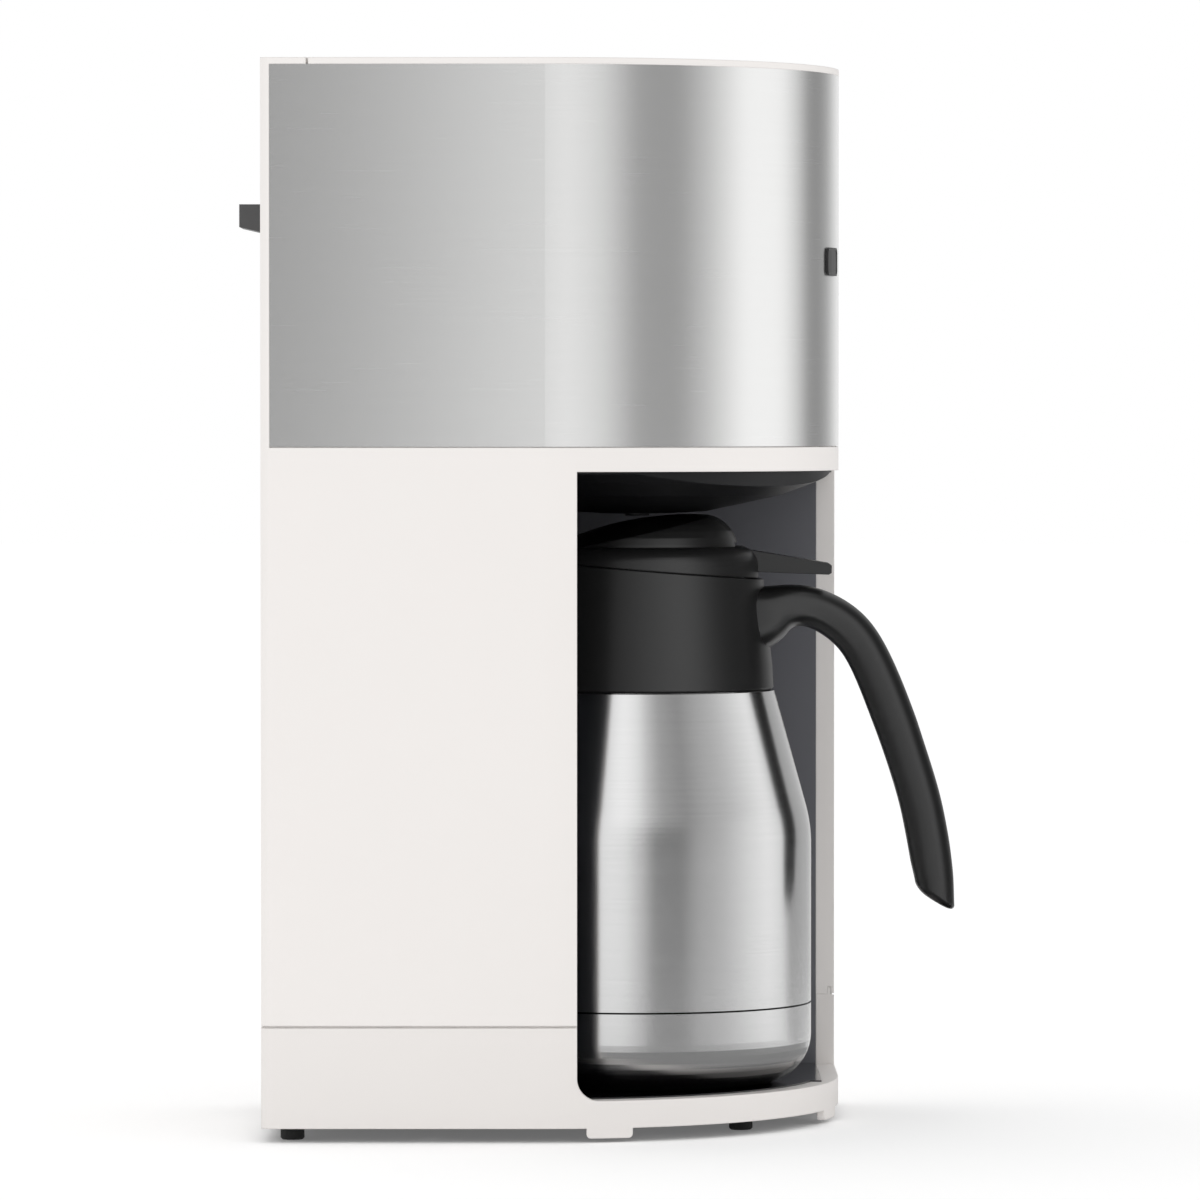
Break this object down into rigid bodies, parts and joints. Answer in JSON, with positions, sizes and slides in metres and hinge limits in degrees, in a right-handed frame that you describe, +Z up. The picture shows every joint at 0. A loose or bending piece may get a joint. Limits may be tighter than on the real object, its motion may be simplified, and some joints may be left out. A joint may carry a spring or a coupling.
{
  "type": "drip coffee maker",
  "caption": "Drip coffee maker with a steel-wrapped brew head over an open bay, a hinged top lid and a vacuum pot with a thumb lever and open drop handle.",
  "frame": {"origin": "on the worktop, under the middle of the whole object's box", "axes": "+Z up, +X to the machine's front, where the pot slides out, -Y to the open side of the bay"},
  "size_m": [0.2501, 0.153, 0.3696],
  "materials": {
    "white_plastic": "satin moulded ABS",
    "base_plastic": "satin moulded ABS",
    "steel": "horizontal brushing",
    "pot_steel": "horizontal brushing",
    "liner_plastic": "dark grey, fine texture",
    "floor_plastic": "glossy",
    "black_plastic": "satin",
    "grey_plastic": "satin",
    "tank_plastic": "smoked",
    "rubber": "matt",
    "silicone": "translucent white",
    "seal_silicone": "matt",
    "valve_silicone": "matt, near black",
    "zinc_steel": "bright zinc",
    "cast_aluminium": "as cast",
    "spring_steel": "bright",
    "ceramic": "matt",
    "amber_lens": "clear tinted"
  },
  "bodies": {
    "housing": {"base_shell": "base_plastic", "base_plate": "grey_plastic", "feet": "rubber", "base_screws": "zinc_steel", "bay_floor": "floor_plastic", "body_shell": "white_plastic", "bay_liner": "liner_plastic", "steel_wrap": "steel", "rear_spacer": "grey_plastic", "cord_gland": "black_plastic", "terminal_block": "ceramic", "flow_heater": "cast_aluminium", "thermostat": "ceramic", "thermal_fuses": "zinc_steel", "check_valve": "ceramic", "cold_hose": "silicone", "hot_hose": "silicone", "outlet_tube": "zinc_steel", "water_tank": "tank_plastic", "brew_deck": "black_plastic", "drip_hood": "black_plastic", "filter_basket": "black_plastic", "valve_cage": "grey_plastic", "drip_spring": "spring_steel", "switch_body": "grey_plastic", "indicator_lens": "amber_lens"},
    "lid": {"top_lid": "white_plastic", "hinge_pins": "zinc_steel", "shower_box": "black_plastic", "shower_plate": "steel"},
    "drip_stop": {"drip_valve": "valve_silicone"},
    "button": {"start_button": "black_plastic"},
    "pot": {"pot_shell": "pot_steel", "pot_base": "pot_steel", "pot_liner": "pot_steel", "liner_cup": "pot_steel", "pot_collar": "black_plastic", "pot_handle": "black_plastic", "handle_screw": "zinc_steel", "lid_dome": "black_plastic", "lid_plug": "grey_plastic", "lid_seal": "seal_silicone", "pour_spring": "spring_steel", "lever_pin": "zinc_steel"},
    "pour_stopper": {"pour_valve": "grey_plastic"},
    "thumb_lever": {"pour_lever": "black_plastic"}
  },
  "joints": [
    {"name": "lid_open", "type": "hinge", "parent": "housing", "child": "lid", "pos_m": [-0.1092, 0, 0.3666], "axis": [0, -1, 0], "range_deg": [0, 100]},
    {"name": "pot_out", "type": "slide", "parent": "housing", "child": "pot", "axis": [1, 0, 0], "range_m": [0, 0.15]},
    {"name": "drip_stop_drop", "type": "slide", "parent": "housing", "child": "drip_stop", "axis": [0, 0, 1], "range_m": [-0.0026, 0.0001], "deforming": ["drip_spring"]},
    {"name": "start_press", "type": "slide", "parent": "housing", "child": "button", "axis": [0, -1, 0], "range_m": [0, 0.002], "stiffness_N_per_m": 300},
    {"name": "thumb_lever_press", "type": "hinge", "parent": "pot", "child": "thumb_lever", "pos_m": [0.0445, 0, 0.197], "axis": [0, 1, 0], "range_deg": [0, 4.2], "stiffness_Nm_per_rad": 0.3},
    {"name": "pour_stopper_lift", "type": "slide", "parent": "pot", "child": "pour_stopper", "axis": [0, 0, 1], "range_m": [0, 0.0024], "deforming": ["pour_spring"]}
  ],
  "couplings": [
    {"joint": "drip_stop_drop", "follows": "pot_out", "ratio": -0.016667},
    {"joint": "pour_stopper_lift", "follows": "thumb_lever_press", "m_per_rad": 0.0315}
  ]
}
